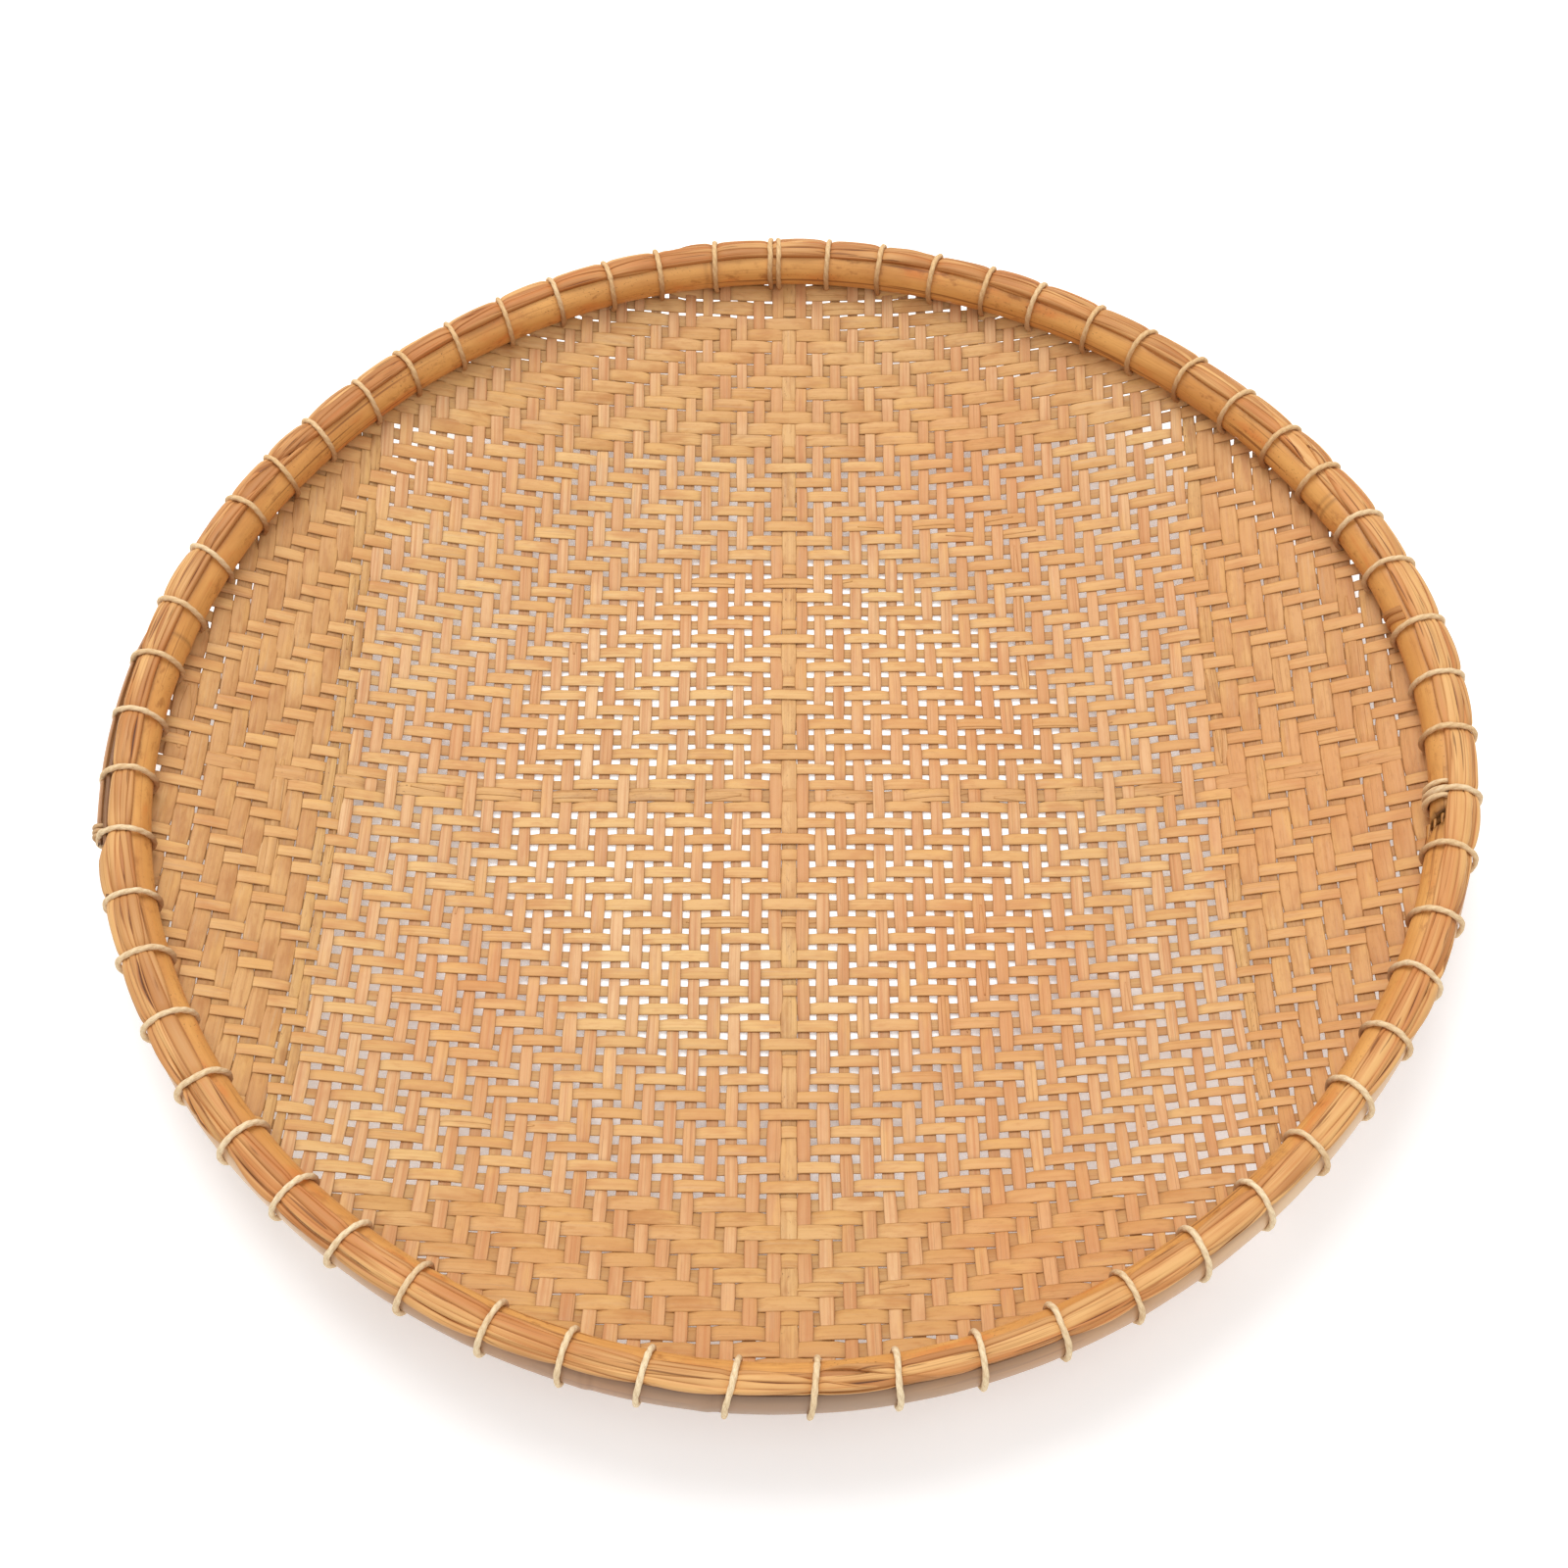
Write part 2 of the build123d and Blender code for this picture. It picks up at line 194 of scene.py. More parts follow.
# ------------------------------------------------------------------ materials
class Nodes:
    """Short hands for building a procedural material."""

    def __init__(self, name):
        self.mat = bpy.data.materials.new(name + "_look")
        self.mat.use_nodes = True
        self.tree = self.mat.node_tree
        self.tree.nodes.clear()
        self.out = self.tree.nodes.new("ShaderNodeOutputMaterial")
        self.skin = self.tree.nodes.new("ShaderNodeBsdfPrincipled")
        self.tree.links.new(self.skin.outputs[0], self.out.inputs[0])

    def put(self, node, socket, value):
        if isinstance(value, bpy.types.NodeSocket):
            self.tree.links.new(value, node.inputs[socket])
        else:
            node.inputs[socket].default_value = value

    def attribute(self, name, vector=False):
        n = self.tree.nodes.new("ShaderNodeAttribute")
        n.attribute_name = name
        return n.outputs["Vector" if vector else "Fac"]

    def math(self, op, a, b):
        n = self.tree.nodes.new("ShaderNodeMath")
        n.operation = op
        self.put(n, 0, a)
        self.put(n, 1, b)
        return n.outputs[0]

    def grainy(self, along, across, detail, rough):
        """Noise that follows the grain, with about so many waves to the metre along and across it."""
        stretched = self.tree.nodes.new("ShaderNodeVectorMath")
        stretched.operation = "MULTIPLY"
        self.put(stretched, 0, self.attribute("grain", vector=True))
        self.put(stretched, 1, (along, across, 1.0))
        n = self.tree.nodes.new("ShaderNodeTexNoise")
        self.put(n, "Vector", stretched.outputs[0])
        self.put(n, "Scale", 1.0)
        self.put(n, "Detail", detail)
        self.put(n, "Roughness", rough)
        return n.outputs[0]

    def ramp(self, value, low, high, to_low=0.0, to_high=1.0):
        n = self.tree.nodes.new("ShaderNodeMapRange")
        n.interpolation_type = "SMOOTHSTEP"
        for k, v in enumerate((value, low, high, to_low, to_high)):
            self.put(n, k, v)
        return n.outputs[0]

    def mix(self, factor, a, b):
        n = self.tree.nodes.new("ShaderNodeMix")
        n.data_type = "RGBA"
        self.put(n, 0, factor)
        self.put(n, 6, a)
        self.put(n, 7, b)
        return n.outputs[2]

    def over(self, colour, amount, strength, new):
        """colour with new laid over it, by amount times strength."""
        return self.mix(self.math("MULTIPLY", amount, strength), colour, new)

    def surface(self, colour, roughness, specular, height, strength, depth):
        """Finish the material, with a bump that is depth metres deep."""
        self.put(self.skin, "Base Color", colour)
        self.put(self.skin, "Roughness", roughness)
        self.put(self.skin, "Specular IOR Level", specular)
        bump = self.tree.nodes.new("ShaderNodeBump")
        self.put(bump, "Strength", strength)
        self.put(bump, "Distance", depth)
        self.put(bump, "Height", height)
        self.put(self.skin, "Normal", bump.outputs[0])
        return self.mat


def rgb(r, g, b):
    """Linear colour from an sRGB one of 0 to 255."""
    c = np.array([r, g, b]) / 255.0
    c = np.where(c <= 0.04045, c / 12.92, ((c + 0.055) / 1.055) ** 2.4)
    return (float(c[0]), float(c[1]), float(c[2]), 1.0)


def darker(colour, k):
    return tuple(k * c for c in colour[:3]) + (1.0,)


def splint_material(name, pale, mid, deep, streak, speck, blotch):
    """Split bamboo: fibres, streaks and clouds along the grain, with painted shade where it passes under and
    along its edges.
    """
    m = Nodes(name)
    fibre = m.grainy(14.0, 2300.0, 3.0, 0.6)
    band = m.grainy(7.0, 620.0, 2.0, 0.5)
    cloud = m.grainy(38.0, 120.0, 3.0, 0.6)
    grey = m.ramp(m.grainy(26.0, 420.0, 3.0, 0.6), 0.55, 0.72)
    yellow = m.ramp(m.grainy(24.0, 90.0, 3.0, 0.6), 0.50, 0.70)
    flecks = m.ramp(m.grainy(140.0, 560.0, 3.0, 0.65), 0.50, 0.70)
    colour = m.mix(m.ramp(m.attribute("tone"), 0.0, 1.0), mid, pale)
    colour = m.over(colour, m.ramp(band, 0.42, 0.72), streak, deep)
    colour = m.over(colour, m.ramp(cloud, 0.46, 0.7), 1.3 * blotch, deep)
    colour = m.over(colour, grey, 0.32, rgb(190, 160, 126))
    colour = m.over(colour, m.attribute("tint"), 0.5, rgb(204, 136, 80))
    colour = m.over(colour, yellow, 0.4, rgb(220, 172, 102))
    colour = m.over(colour, flecks, blotch * 0.7, deep)
    colour = m.over(colour, m.ramp(fibre, 0.56, 0.72), 0.16 + 0.5 * streak, darker(deep, 0.55))
    if speck > 0:
        spots = m.ramp(m.grainy(420.0, 900.0, 4.0, 0.7), 0.60, 0.70)
        patch = m.ramp(m.grainy(60.0, 150.0, 2.0, 0.5), 0.42, 0.62)
        colour = m.over(colour, m.math("MULTIPLY", spots, patch), speck, rgb(92, 58, 30))
    # painted shade: darker where the splint dips under the other set
    under = m.ramp(m.attribute("low"), 0.35, -0.9, 0.0, 0.3)
    colour = m.mix(under, colour, darker(deep, 0.5))
    # painted shade along the splint's edges, down between its neighbours
    colour = m.mix(m.ramp(m.attribute("edge"), 0.82, 1.0, 0.0, 0.4), colour, darker(deep, 0.6))
    height = m.math("ADD", m.math("MULTIPLY", fibre, 0.6), band)
    return m.surface(colour, m.ramp(fibre, 0.3, 0.7, 0.45, 0.64), 0.35, height, 0.55, 0.00022)


def hoop_material(name, pale, mid, deep, speck, patch_colour, patches, grey=None):
    """The skin of a split pole: clouds, long checks, mottles, specks and darker nodes."""
    m = Nodes(name)
    fibre = m.grainy(9.0, 900.0, 3.0, 0.6)
    cloud = m.grainy(16.0, 70.0, 4.0, 0.6)
    broad = m.grainy(24.0, 70.0, 3.0, 0.55)
    checks = m.ramp(m.grainy(6.0, 300.0, 2.0, 0.5), 0.62, 0.67)
    mottle = m.ramp(m.grainy(120.0, 230.0, 4.0, 0.65), 0.50, 0.68)
    mottled = m.ramp(m.grainy(22.0, 60.0, 2.0, 0.5), 0.40, 0.62)
    spots = m.ramp(m.grainy(700.0, 900.0, 3.0, 0.65), 0.60, 0.70)
    spotted = m.ramp(m.grainy(14.0, 60.0, 2.0, 0.5), 0.40, 0.60)
    colour = m.mix(m.ramp(cloud, 0.3, 0.7), mid, pale)
    colour = m.over(colour, m.ramp(fibre, 0.5, 0.75), 0.35, deep)
    colour = m.over(colour, m.ramp(broad, 0.52, 0.72), patches, patch_colour)
    colour = m.over(colour, checks, 0.75, rgb(132, 78, 36))
    colour = m.over(colour, m.math("MULTIPLY", mottle, mottled), patches, deep)
    colour = m.over(colour, m.math("MULTIPLY", spots, spotted), speck, rgb(96, 56, 24))
    if grey is not None:
        # painted shade: a veil of the colour grey over the front of the outer hoop
        clouded = m.ramp(m.grainy(5.0, 22.0, 3.0, 0.6), 0.30, 0.60, 0.35, 1.0)
        colour = m.over(colour, m.attribute("painted_shade"), clouded, grey)
        # paler, pinker skin at the front right and front left: partly its own colour, partly painted light
        colour = m.over(colour, m.attribute("pale_skin_and_painted_light"), clouded, rgb(222, 188, 150))
    colour = m.over(colour, m.attribute("node"), 0.55, rgb(104, 66, 34))
    colour = m.mix(m.attribute("shade"), colour, rgb(84, 50, 24))
    height = m.math("ADD", m.math("MULTIPLY", fibre, 0.5), m.math("MULTIPLY", cloud, 0.9))
    height = m.math("SUBTRACT", height, m.math("MULTIPLY", spots, 0.3))
    return m.surface(colour, m.ramp(cloud, 0.3, 0.7, 0.32, 0.52), 0.4, height, 0.4, 0.00035)


def cap_material(name):
    """Cane bent over the hoops: bands and fine lines along it, with painted shade down in its splits."""
    m = Nodes(name)
    split_shade = m.attribute("split_shade")
    fibre = m.grainy(16.0, 1500.0, 3.0, 0.6)
    band = m.grainy(9.0, 170.0, 3.0, 0.55)
    cloud = m.grainy(24.0, 110.0, 4.0, 0.6)
    hair = m.grainy(34.0, 900.0, 1.0, 0.4)
    colour = m.mix(m.ramp(m.attribute("tone"), 0.0, 1.0), rgb(174, 117, 66), rgb(217, 167, 106))
    colour = m.over(colour, m.ramp(band, 0.46, 0.68), 0.65, rgb(190, 116, 60))
    colour = m.over(colour, m.ramp(cloud, 0.5, 0.72), 0.5, rgb(198, 136, 76))
    colour = m.over(colour, m.ramp(fibre, 0.53, 0.70), 0.5, rgb(150, 96, 50))
    colour = m.over(colour, m.ramp(hair, 0.68, 0.74), 0.7, rgb(118, 70, 36))
    # painted shade down in the splits and at the slats' edges
    colour = m.mix(m.ramp(split_shade, 0.05, 0.5, 0.0, 0.55), colour, rgb(166, 98, 48))
    colour = m.mix(m.ramp(split_shade, 0.4, 1.0), colour, rgb(86, 46, 22))
    height = m.math("ADD", m.math("MULTIPLY", fibre, 0.6), band)
    height = m.math("SUBTRACT", height, m.ramp(hair, 0.66, 0.74))
    return m.surface(colour, m.ramp(fibre, 0.3, 0.7, 0.46, 0.66), 0.3, height, 0.6, 0.0004)


def cord_material(name):
    """Twisted cord: pale fibre, with painted shade in its grooves, and browner inside the rim, where it is
    stained and in painted shade.
    """
    m = Nodes(name)
    tone = m.attribute("tone")
    fibre = m.grainy(700.0, 2600.0, 3.0, 0.6)
    dirt = m.grainy(110.0, 160.0, 3.0, 0.6)
    dull = m.mix(tone, rgb(204, 162, 112), rgb(222, 196, 154))
    light = m.mix(tone, rgb(228, 194, 146), rgb(243, 224, 190))
    colour = m.mix(m.ramp(fibre, 0.3, 0.7), dull, light)
    colour = m.over(colour, m.ramp(dirt, 0.48, 0.75), 0.45, rgb(196, 152, 104))
    # painted shade in the grooves between the plies
    colour = m.over(colour, m.attribute("groove_shade"), 0.4, rgb(168, 126, 84))
    # stain and painted shade on the rim's inner side, low down
    colour = m.over(colour, m.attribute("stain_and_shade"), 0.8, rgb(150, 98, 54))
    return m.surface(colour, 0.85, 0.2, fibre, 0.5, 0.0003)


# each: pale, middle and deep colour, then how much streak, speck and blotch
WARP = splint_material("warp_splint", rgb(215, 172, 124), rgb(200, 149, 100), rgb(184, 123, 76),
                       0.75, 0.0, 0.3)
WEFT = splint_material("weft_splint", rgb(215, 174, 114), rgb(205, 158, 98), rgb(188, 130, 76),
                       0.35, 0.0, 0.55)
SPINE = splint_material("spine_splint", rgb(210, 168, 112), rgb(200, 154, 98), rgb(166, 112, 62),
                        0.35, 0.8, 0.5)
WIDE = splint_material("wide_splint", rgb(210, 166, 109), rgb(200, 152, 92), rgb(178, 121, 66),
                       0.3, 0.12, 0.6)
WIDE_WARP = splint_material("wide_warp", rgb(207, 160, 103), rgb(195, 144, 90), rgb(170, 113, 63),
                            0.4, 0.2, 0.5)
SPECKLED = splint_material("speckled_splint", rgb(208, 166, 106), rgb(194, 146, 90), rgb(152, 98, 52),
                           0.4, 1.0, 0.5)
INNER_SKIN = hoop_material("inner_bamboo", rgb(220, 162, 90), rgb(200, 138, 72), rgb(150, 88, 38), 0.8,
                           rgb(204, 118, 54), 0.7)
# its grey is the painted shade over the hoop's front
OUTER_SKIN = hoop_material("outer_bamboo", rgb(200, 146, 92), rgb(182, 124, 74), rgb(138, 88, 48), 0.4,
                           rgb(172, 108, 60), 0.35, grey=rgb(158, 132, 110))
CAP = cap_material("cap_cane")
CORD_SKIN = cord_material("twisted_cord")


# ------------------------------------------------------------------ the mat
def side_by_side(start, count, pitch):
    """Places of up to count splints laid edge to edge, closer in plan where the mat slopes."""
    offsets, at = [], start
    while len(offsets) < count and at <= REACH:
        offsets.append(at)
        at += pitch * float(np.cos(np.arctan(mat_slope(np.array(at)))))
    return offsets


# how far a splint strays from its line, mm; 0.34 for the others
RESTLESS = {"spine_warp": 0.2, "centre_weft": 0.8, "speckled_warps": 0.5, "rough_warp": 0.7}


class Splint:
    def __init__(self, index, offset, width, group, material):
        g = np.random.default_rng(7000 + index * 13 + (500000 if "weft" in group else 0))
        self.index, self.group, self.material = index, group, material
        jitter = 0.0 if index == 0 else 1.0
        self.offset = offset + jitter * g.uniform(-0.22, 0.22)
        even = 0.5 if group.startswith("wide") else 1.0
        self.width = width * (1 + jitter * g.uniform(-0.06, 0.06) * even)
        self.tone = g.uniform(0, 1)
        self.seed = int(g.integers(1 << 30))
        self.thick = 0.62 * g.uniform(0.85, 1.15)

    def drift(self, s):
        size = RESTLESS.get(self.group, 0.34)
        return wobble(self.seed, np.asarray(s, float), size, 120.0)


def family(rows):
    """All the splints of one direction, from rows of (sign, first index, places, width, group, material)."""
    made = []
    for sign, index, offsets, width, group, material in rows:
        for k, at in enumerate(offsets):
            out, wider = 0.0, 1.0
            if group.startswith("wide"):            # the last two lie closer to the hoop
                out, wider = {1: (3.0, 1.28), 2: (1.2, 1.08)}.get(len(offsets) - k, (0.0, 1.0))
            made.append(Splint(sign * (index + k), sign * (at + out), width * wider, group, material))
    return sorted(made, key=lambda q: q.offset)


warp_at = [FIRST + k * WARP_PITCH for k in range(OPEN_SPLINTS)]
speckled_at = warp_at[-1] + HALF_OPEN + 2.4
wide_left_at = speckled_at + 1.5 * 4.8 + 3.7
rough_at = warp_at[-2] + HALF_OPEN + 3.4
wide_right_at = rough_at + 3.0 + 4.1
warps = family([
    (1, 0, [0.0], 7.0, "spine_warp", SPINE),
    (-1, 1, warp_at, 5.45, "open_warps_left", WARP),
    (1, 1, warp_at[:-1], 5.4, "open_warps_right", WARP),
    (-1, 24, side_by_side(speckled_at, 2, 4.8), 4.2, "speckled_warps", SPECKLED),
    (-1, 26, side_by_side(wide_left_at, 20, 7.4), 7.7, "wide_warps_left", WIDE_WARP),
    (1, 23, [rough_at], 6.0, "rough_warp", SPECKLED),
    (1, 24, side_by_side(wide_right_at, 20, 8.2), 7.95, "wide_warps_right", WIDE_WARP),
])
far_at = [FIRST + k * FAR_PITCH for k in range(OPEN_SPLINTS)]
near_at = [FIRST + k * NEAR_PITCH for k in range(OPEN_SPLINTS)]
wefts = family([
    (1, 0, [0.0], 7.0, "centre_weft", SPINE),
    (1, 1, far_at, 5.5, "open_wefts_far", WEFT),
    (-1, 1, near_at, 5.5, "open_wefts_near", WEFT),
    (1, 24, side_by_side(FIRST + OPEN_SPLINTS * FAR_PITCH, 20, 6.5), 6.4, "wide_wefts_far", WIDE),
    (-1, 24, side_by_side(FIRST + OPEN_SPLINTS * NEAR_PITCH, 20, 7.0), 7.1, "wide_wefts_near", WIDE),
])

WAVE = 0.40                                     # half the distance between the two layers
# a splint's section: across in half widths, up in thicknesses
SECTION = np.array([(-1, 0.22), (-0.86, 0.5), (0, 0.57), (0.86, 0.5), (1, 0.22),
                    (1, -0.35), (0, -0.5), (-1, -0.35)])


def weft_on_top(i, j):
    """A 2/2 twill that turns about the middle splint of each direction."""
    return (abs(i) + abs(j) + 1) % 4 in (0, 1)


def crossings(splint, others, along_y):
    """Where this splint meets each of the other set, and +1 where it passes over."""
    at, side, width = [], [], []
    for other in others:
        s = other.offset + float(other.drift(splint.offset))
        if np.hypot(s, splint.offset) > FOOT_RADIUS + 2:
            continue
        i, j = (splint.index, other.index) if along_y else (other.index, splint.index)
        over = weft_on_top(i, j) != along_y
        at.append(s)
        side.append(1.0 if over else -1.0)
        width.append(other.width)
    return np.array(at), np.array(side), np.array(width)


def woven(splint, others, along_y):
    """Stations along a splint and its level there, from -1 under to 1 over, more in a float."""
    at, side, width = crossings(splint, others, along_y)
    steps = np.array([0.0, 0.18, 0.34, 0.5, 0.66, 0.82])
    gaps = np.diff(at)
    s = (at[:-1, None] + gaps[:, None] * steps).ravel()
    t = np.clip((np.tile(steps, len(gaps)) - 0.16) / 0.68, 0, 1)
    t = t * t * (3 - 2 * t)
    a = np.repeat(side[:-1], len(steps))
    b = np.repeat(side[1:], len(steps))
    level = a + (b - a) * t
    arch = np.where(a == b, np.sin(np.tile(steps, len(gaps)) * pi) * a, 0) * 0.35
    s = np.append(s, at[-1])
    level = np.append(level + arch, side[-1])
    edge = np.sqrt(max(0.0, EDGE_RADIUS**2 - splint.offset**2))
    first_in, last_in = s[0], s[-1]
    before = np.linspace(-edge, first_in, 9)[:-1]
    after = np.linspace(last_in, edge, 9)[1:]
    fade_b = np.clip(1 - (first_in - before) / 7.0, 0, 1) * level[0]
    fade_a = np.clip(1 - (after - last_in) / 7.0, 0, 1) * level[-1]
    return np.concatenate([before, s, after]), np.concatenate([fade_b, level, fade_a])


def fullness(x, y):
    """How wide a splint is here: a little wider in the far left corner, narrower in the near right one."""
    far_left = np.exp(-((x + 195.0)**2 + (y - 180.0)**2) / 62.0**2)
    near_right = np.exp(-((x - 190.0)**2 + (y + 160.0)**2) / 60.0**2)
    return 1 + 0.24 * far_left - 0.2 * near_right


def ribbon(gather, splint, others, along_y, span=None, shift=0.0, scale=1.0, turn=0.0):
    """One splint, or with span a second length of it laid on top between those two places."""
    s, level = woven(splint, others, along_y)
    if span is not None:
        inside = (s > span[0]) & (s < span[1])
        s, level = s[inside], level[inside] + 0.75
    middle = (s[0] + s[-1]) / 2
    side = splint.offset + splint.drift(s) + shift + turn * (s - middle)
    x, y = (side, s) if along_y else (s, side)
    r = np.maximum(np.hypot(x, y), 1e-6)
    slope = mat_slope(r)
    normal = np.stack([-slope * x / r, -slope * y / r, np.ones_like(r)], -1)
    normal /= np.linalg.norm(normal, axis=1, keepdims=True)
    centre = np.stack([x, y, mat_height(r)], -1)
    centre = centre + normal * (level * WAVE)[:, None]
    run = np.gradient(centre, axis=0)
    run /= np.linalg.norm(run, axis=1, keepdims=True)
    across = np.cross(run, normal)
    if not along_y:
        across = -across
    across /= np.linalg.norm(across, axis=1, keepdims=True)
    up = np.cross(across, run)
    if not along_y:
        up = -up
    uneven = wobble(splint.seed + 5, s, 0.05, 60.0) + wobble(splint.seed + 6, s, 0.02, 17.0)
    width = splint.width * scale / 2 * (1 + uneven)
    width = width * (1 + 0.045 * np.clip(level, -1, 1.4)) * fullness(x, y)
    if span is not None:
        width = width * np.clip(np.minimum(s - s[0], s[-1] - s) / 16.0 + 0.25, 0, 1)
    twist = wobble(splint.seed + 9, s, 0.10, 26.0)
    v, h = SECTION[:, 0], SECTION[:, 1]
    lateral = v[None, :] * width[:, None]
    height = h[None, :] * splint.thick + twist[:, None] * v[None, :]
    grid = centre[:, None, :] + across[:, None, :] * lateral[..., None]
    grid = grid + up[:, None, :] * height[..., None]
    if along_y:
        grid = grid[:, ::-1]
        v = v[::-1]
        lateral = lateral[:, ::-1]
    ident = np.full_like(lateral, splint.seed % 977 * 1.37)
    along = np.broadcast_to(s[:, None], lateral.shape)
    tint = tan_patches(x, y)
    if not along_y:                                 # where they cross the wide warps the wefts are browner
        tint = np.clip(tint + 0.5 * np.clip((np.abs(x) - 185.0) / 40.0, 0, 1), 0, 1)
    values = {
        "grain": np.stack([along * MM, lateral * MM, ident], -1),
        "tone": np.full_like(lateral, splint.tone),
        # low and edge also set the painted shade in the splint material
        "low": np.broadcast_to(level[:, None], lateral.shape).copy(),
        "tint": np.broadcast_to(tint[:, None], lateral.shape).copy(),
        "edge": np.broadcast_to(np.abs(v)[None, :], lateral.shape).copy(),
    }
    gather.tube(grid, values)


def splices(splint):
    """Short second lengths, where a splint ran out or split: (start, length, shift, scale, turn)."""
    if splint.group == "centre_weft":
        return [(-178.0, 96.0, 1.1, 0.55, -0.012), (-92.0, 70.0, -0.6, 0.7, 0.02),
                (16.0, 74.0, 0.5, 0.62, 0.045), (96.0, 88.0, -0.9, 0.6, 0.015)]
    if splint.group == "rough_warp":
        return [(-150.0, 120.0, 0.7, 0.5, 0.01), (10.0, 110.0, -0.8, 0.45, -0.012)]
    g = np.random.default_rng(splint.seed + 31)
    if g.uniform() > 0.17:
        return []
    reach = np.sqrt(max(0.0, 250.0**2 - splint.offset**2))
    length = g.uniform(35, 90)
    return [(g.uniform(-reach, max(-reach + 1, reach - length)), length, g.uniform(-0.9, 0.9),
             g.uniform(0.35, 0.6), g.uniform(-0.02, 0.02))]


for members, others, along_y in ((warps, wefts, True), (wefts, warps, False)):
    groups = {}
    for splint in members:
        gather = groups.setdefault(splint.group, (Gather(), splint.material))[0]
        ribbon(gather, splint, others, along_y)
        for start, length, shift, scale, turn in splices(splint):
            ribbon(gather, splint, others, along_y, (start, start + length), shift, scale, turn)
    for name, (gather, material) in groups.items():
        add_piece(gather, "woven_" + name, material, name)


# ------------------------------------------------------------------ the rim
def rim(a, n, u):
    """Points of the rim at angle a (radians): n outwards from the mat, u up along it."""
    radius = FOOT_RADIUS + u * sin(LEAN) + n * cos(LEAN)
    height = FOOT_HEIGHT + u * cos(LEAN) - n * sin(LEAN)
    return np.stack([radius * np.cos(a), radius * np.sin(a), height + 0 * a], -1)


def bow(flat, low, high, thick):
    """Centre (n, u) and radius of the arc that crowns a hoop's section."""
    half = (high - low) / 2
    radius = (half**2 + thick**2) / (2 * abs(thick))
    return flat + thick - radius * np.sign(thick), (low + high) / 2, radius


def tie_angle(k):
    even = TIE_START - TIE_STEP * k
    return even + TIE_SPREAD * cos(radians(even))


shake = np.random.default_rng(99)
jitters = shake.uniform(-0.4, 0.4, TIES)
slants = shake.uniform(-0.6, 4.0, TIES)
TIE_ANGLES = [radians(tie_angle(k) + jitters[k]) for k in range(TIES)]
IN_N, IN_U, IN_R = bow(**INNER)
OUT_N, OUT_U, OUT_R = bow(**OUTER)


def in_ties(a):
    """Angle a counted in ties: a whole number at each tie, halves midway between."""
    once = np.sort(np.mod(TIE_ANGLES, 2 * pi))
    marks = np.concatenate([once - 2 * pi, once, once + 2 * pi, once + 4 * pi])
    return np.interp(a, marks, np.arange(len(marks)))


def bump_at(a, where, width):
    """1 at the angles in where, falling to 0 within width (radians)."""
    out = np.zeros_like(a)
    for w in where:
        d = (a - w + pi) % (2 * pi) - pi
        out = np.maximum(out, np.exp(-((d / width) ** 2)))
    return out


def sliver(gathered, at, length, n, u, wide, thick, lean, dark, seed):
    """A pointed splinter lying along the hoop, from angle at (degrees) for length mm."""
    t = np.linspace(0, 1, 14)
    a = radians(at) + t * length / FOOT_RADIUS
    taper = np.sqrt(np.clip(1 - t, 0, 1)) * 0.9 + 0.1
    v, h = SECTION[:, 0], SECTION[:, 1]
    out = n + lean * t[:, None] + h[None, :] * thick * taper[:, None]
    up = u + v[None, :] * wide / 2 * taper[:, None] + wobble(seed, t * length, 0.4, 30.0)[:, None]
    grid = rim(a[:, None] + 0 * v[None, :], out, up)
    shape = grid.shape[:2]
    values = {
        "grain": np.stack([np.broadcast_to((t * length)[:, None], shape) * MM,
                           np.broadcast_to(v[None, :] * wide / 2, shape) * MM,
                           np.full(shape, seed * 0.7)], -1),
        "node": np.zeros(shape),
        "shade": np.full(shape, dark),
        "painted_shade": np.zeros(shape),
        "pale_skin_and_painted_light": np.zeros(shape),
    }
    gathered.tube(grid, values)


def smooth(t):
    t = np.clip(t, 0, 1)
    return t * t * (3 - 2 * t)


